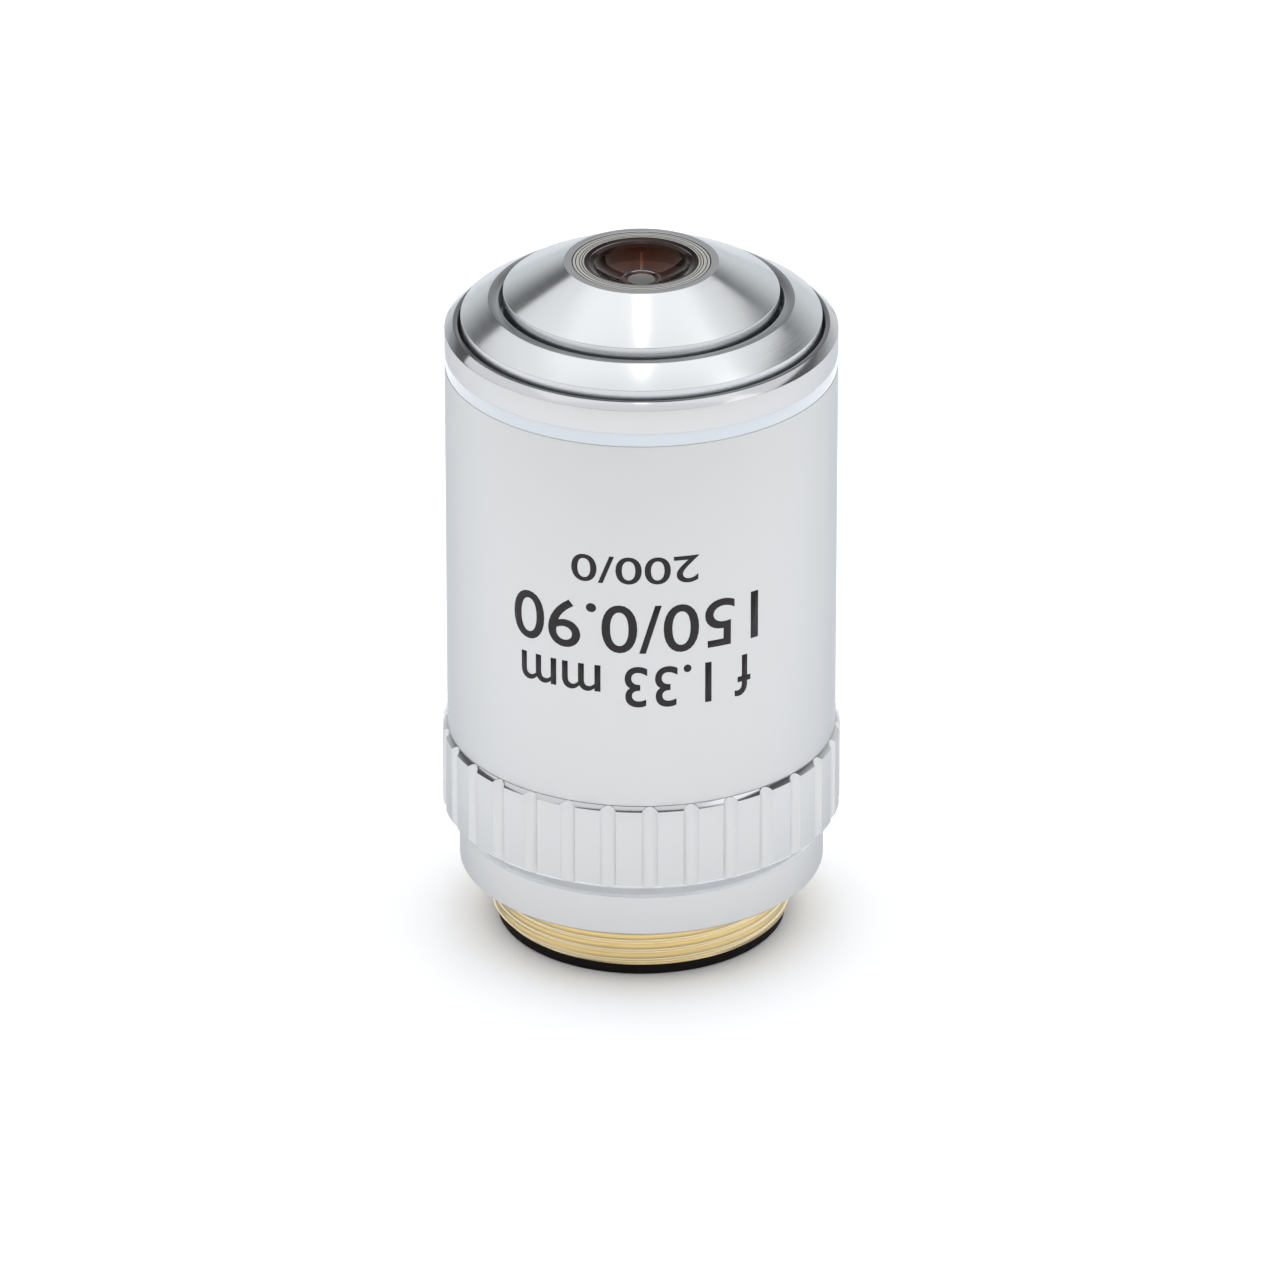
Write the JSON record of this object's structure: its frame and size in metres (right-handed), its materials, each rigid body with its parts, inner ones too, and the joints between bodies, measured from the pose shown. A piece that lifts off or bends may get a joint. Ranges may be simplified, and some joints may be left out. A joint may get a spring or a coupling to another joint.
{
  "type": "microscope objective",
  "caption": "Microscope objective with a fluted grip ring, satin sleeve, spring-loaded polished nose, recessed front lens and brass mounting thread.",
  "frame": {"origin": "on the optical axis, in the plane of the mounting shoulder (the lower face of the shoulder collar), where the thread begins", "axes": "+Z along the optical axis towards the front lens and the specimen; the front of the printed figures faces -Y"},
  "size_m": [0.0268, 0.0268, 0.0484],
  "materials": {
    "satin_chrome": "satin",
    "polished_chrome": "fine turned",
    "pale_nickel": "satin",
    "bare_brass": "turned",
    "black_anodised": "matte",
    "band_enamel": "gloss",
    "spring_steel": "plain",
    "optical_glass": "polished",
    "coated_glass": "polished, anti-reflection coated"
  },
  "bodies": {
    "housing": {"main_barrel": "bare_brass", "shoulder_collar": "satin_chrome", "grip_ring": "satin_chrome", "outer_sleeve": "satin_chrome", "colour_band": "band_enamel", "rear_ring": "black_anodised", "stop_ring": "bare_brass", "guide_screw": "spring_steel", "return_spring": "spring_steel"},
    "nose": {"aperture_stop": "black_anodised", "front_cell": "pale_nickel", "front_doublet_cell": "black_anodised", "front_doublet_crown": "optical_glass", "front_doublet_flint": "optical_glass", "front_guide": "polished_chrome", "front_lens": "coated_glass", "front_spacer": "black_anodised", "lens_barrel": "bare_brass", "meniscus_cell": "black_anodised", "nose_cone": "polished_chrome", "parfocal_shim": "bare_brass", "rear_doublet_cell": "black_anodised", "rear_doublet_crown": "optical_glass", "rear_doublet_flint": "optical_glass", "rear_meniscus": "optical_glass", "rear_meniscus_cell": "black_anodised", "rear_spacer": "black_anodised", "second_meniscus": "optical_glass", "stack_ring": "black_anodised", "triplet_cell": "black_anodised", "triplet_crown": "optical_glass", "triplet_front_flint": "optical_glass", "triplet_rear_flint": "optical_glass"}
  },
  "joints": [
    {"name": "nose_slide", "type": "slide", "parent": "housing", "child": "nose", "axis": [0, 0, 1], "range_m": [-0.0018, 0], "stiffness_N_per_m": 500, "springref_m": 0.003, "deforming": ["return_spring"]}
  ]
}
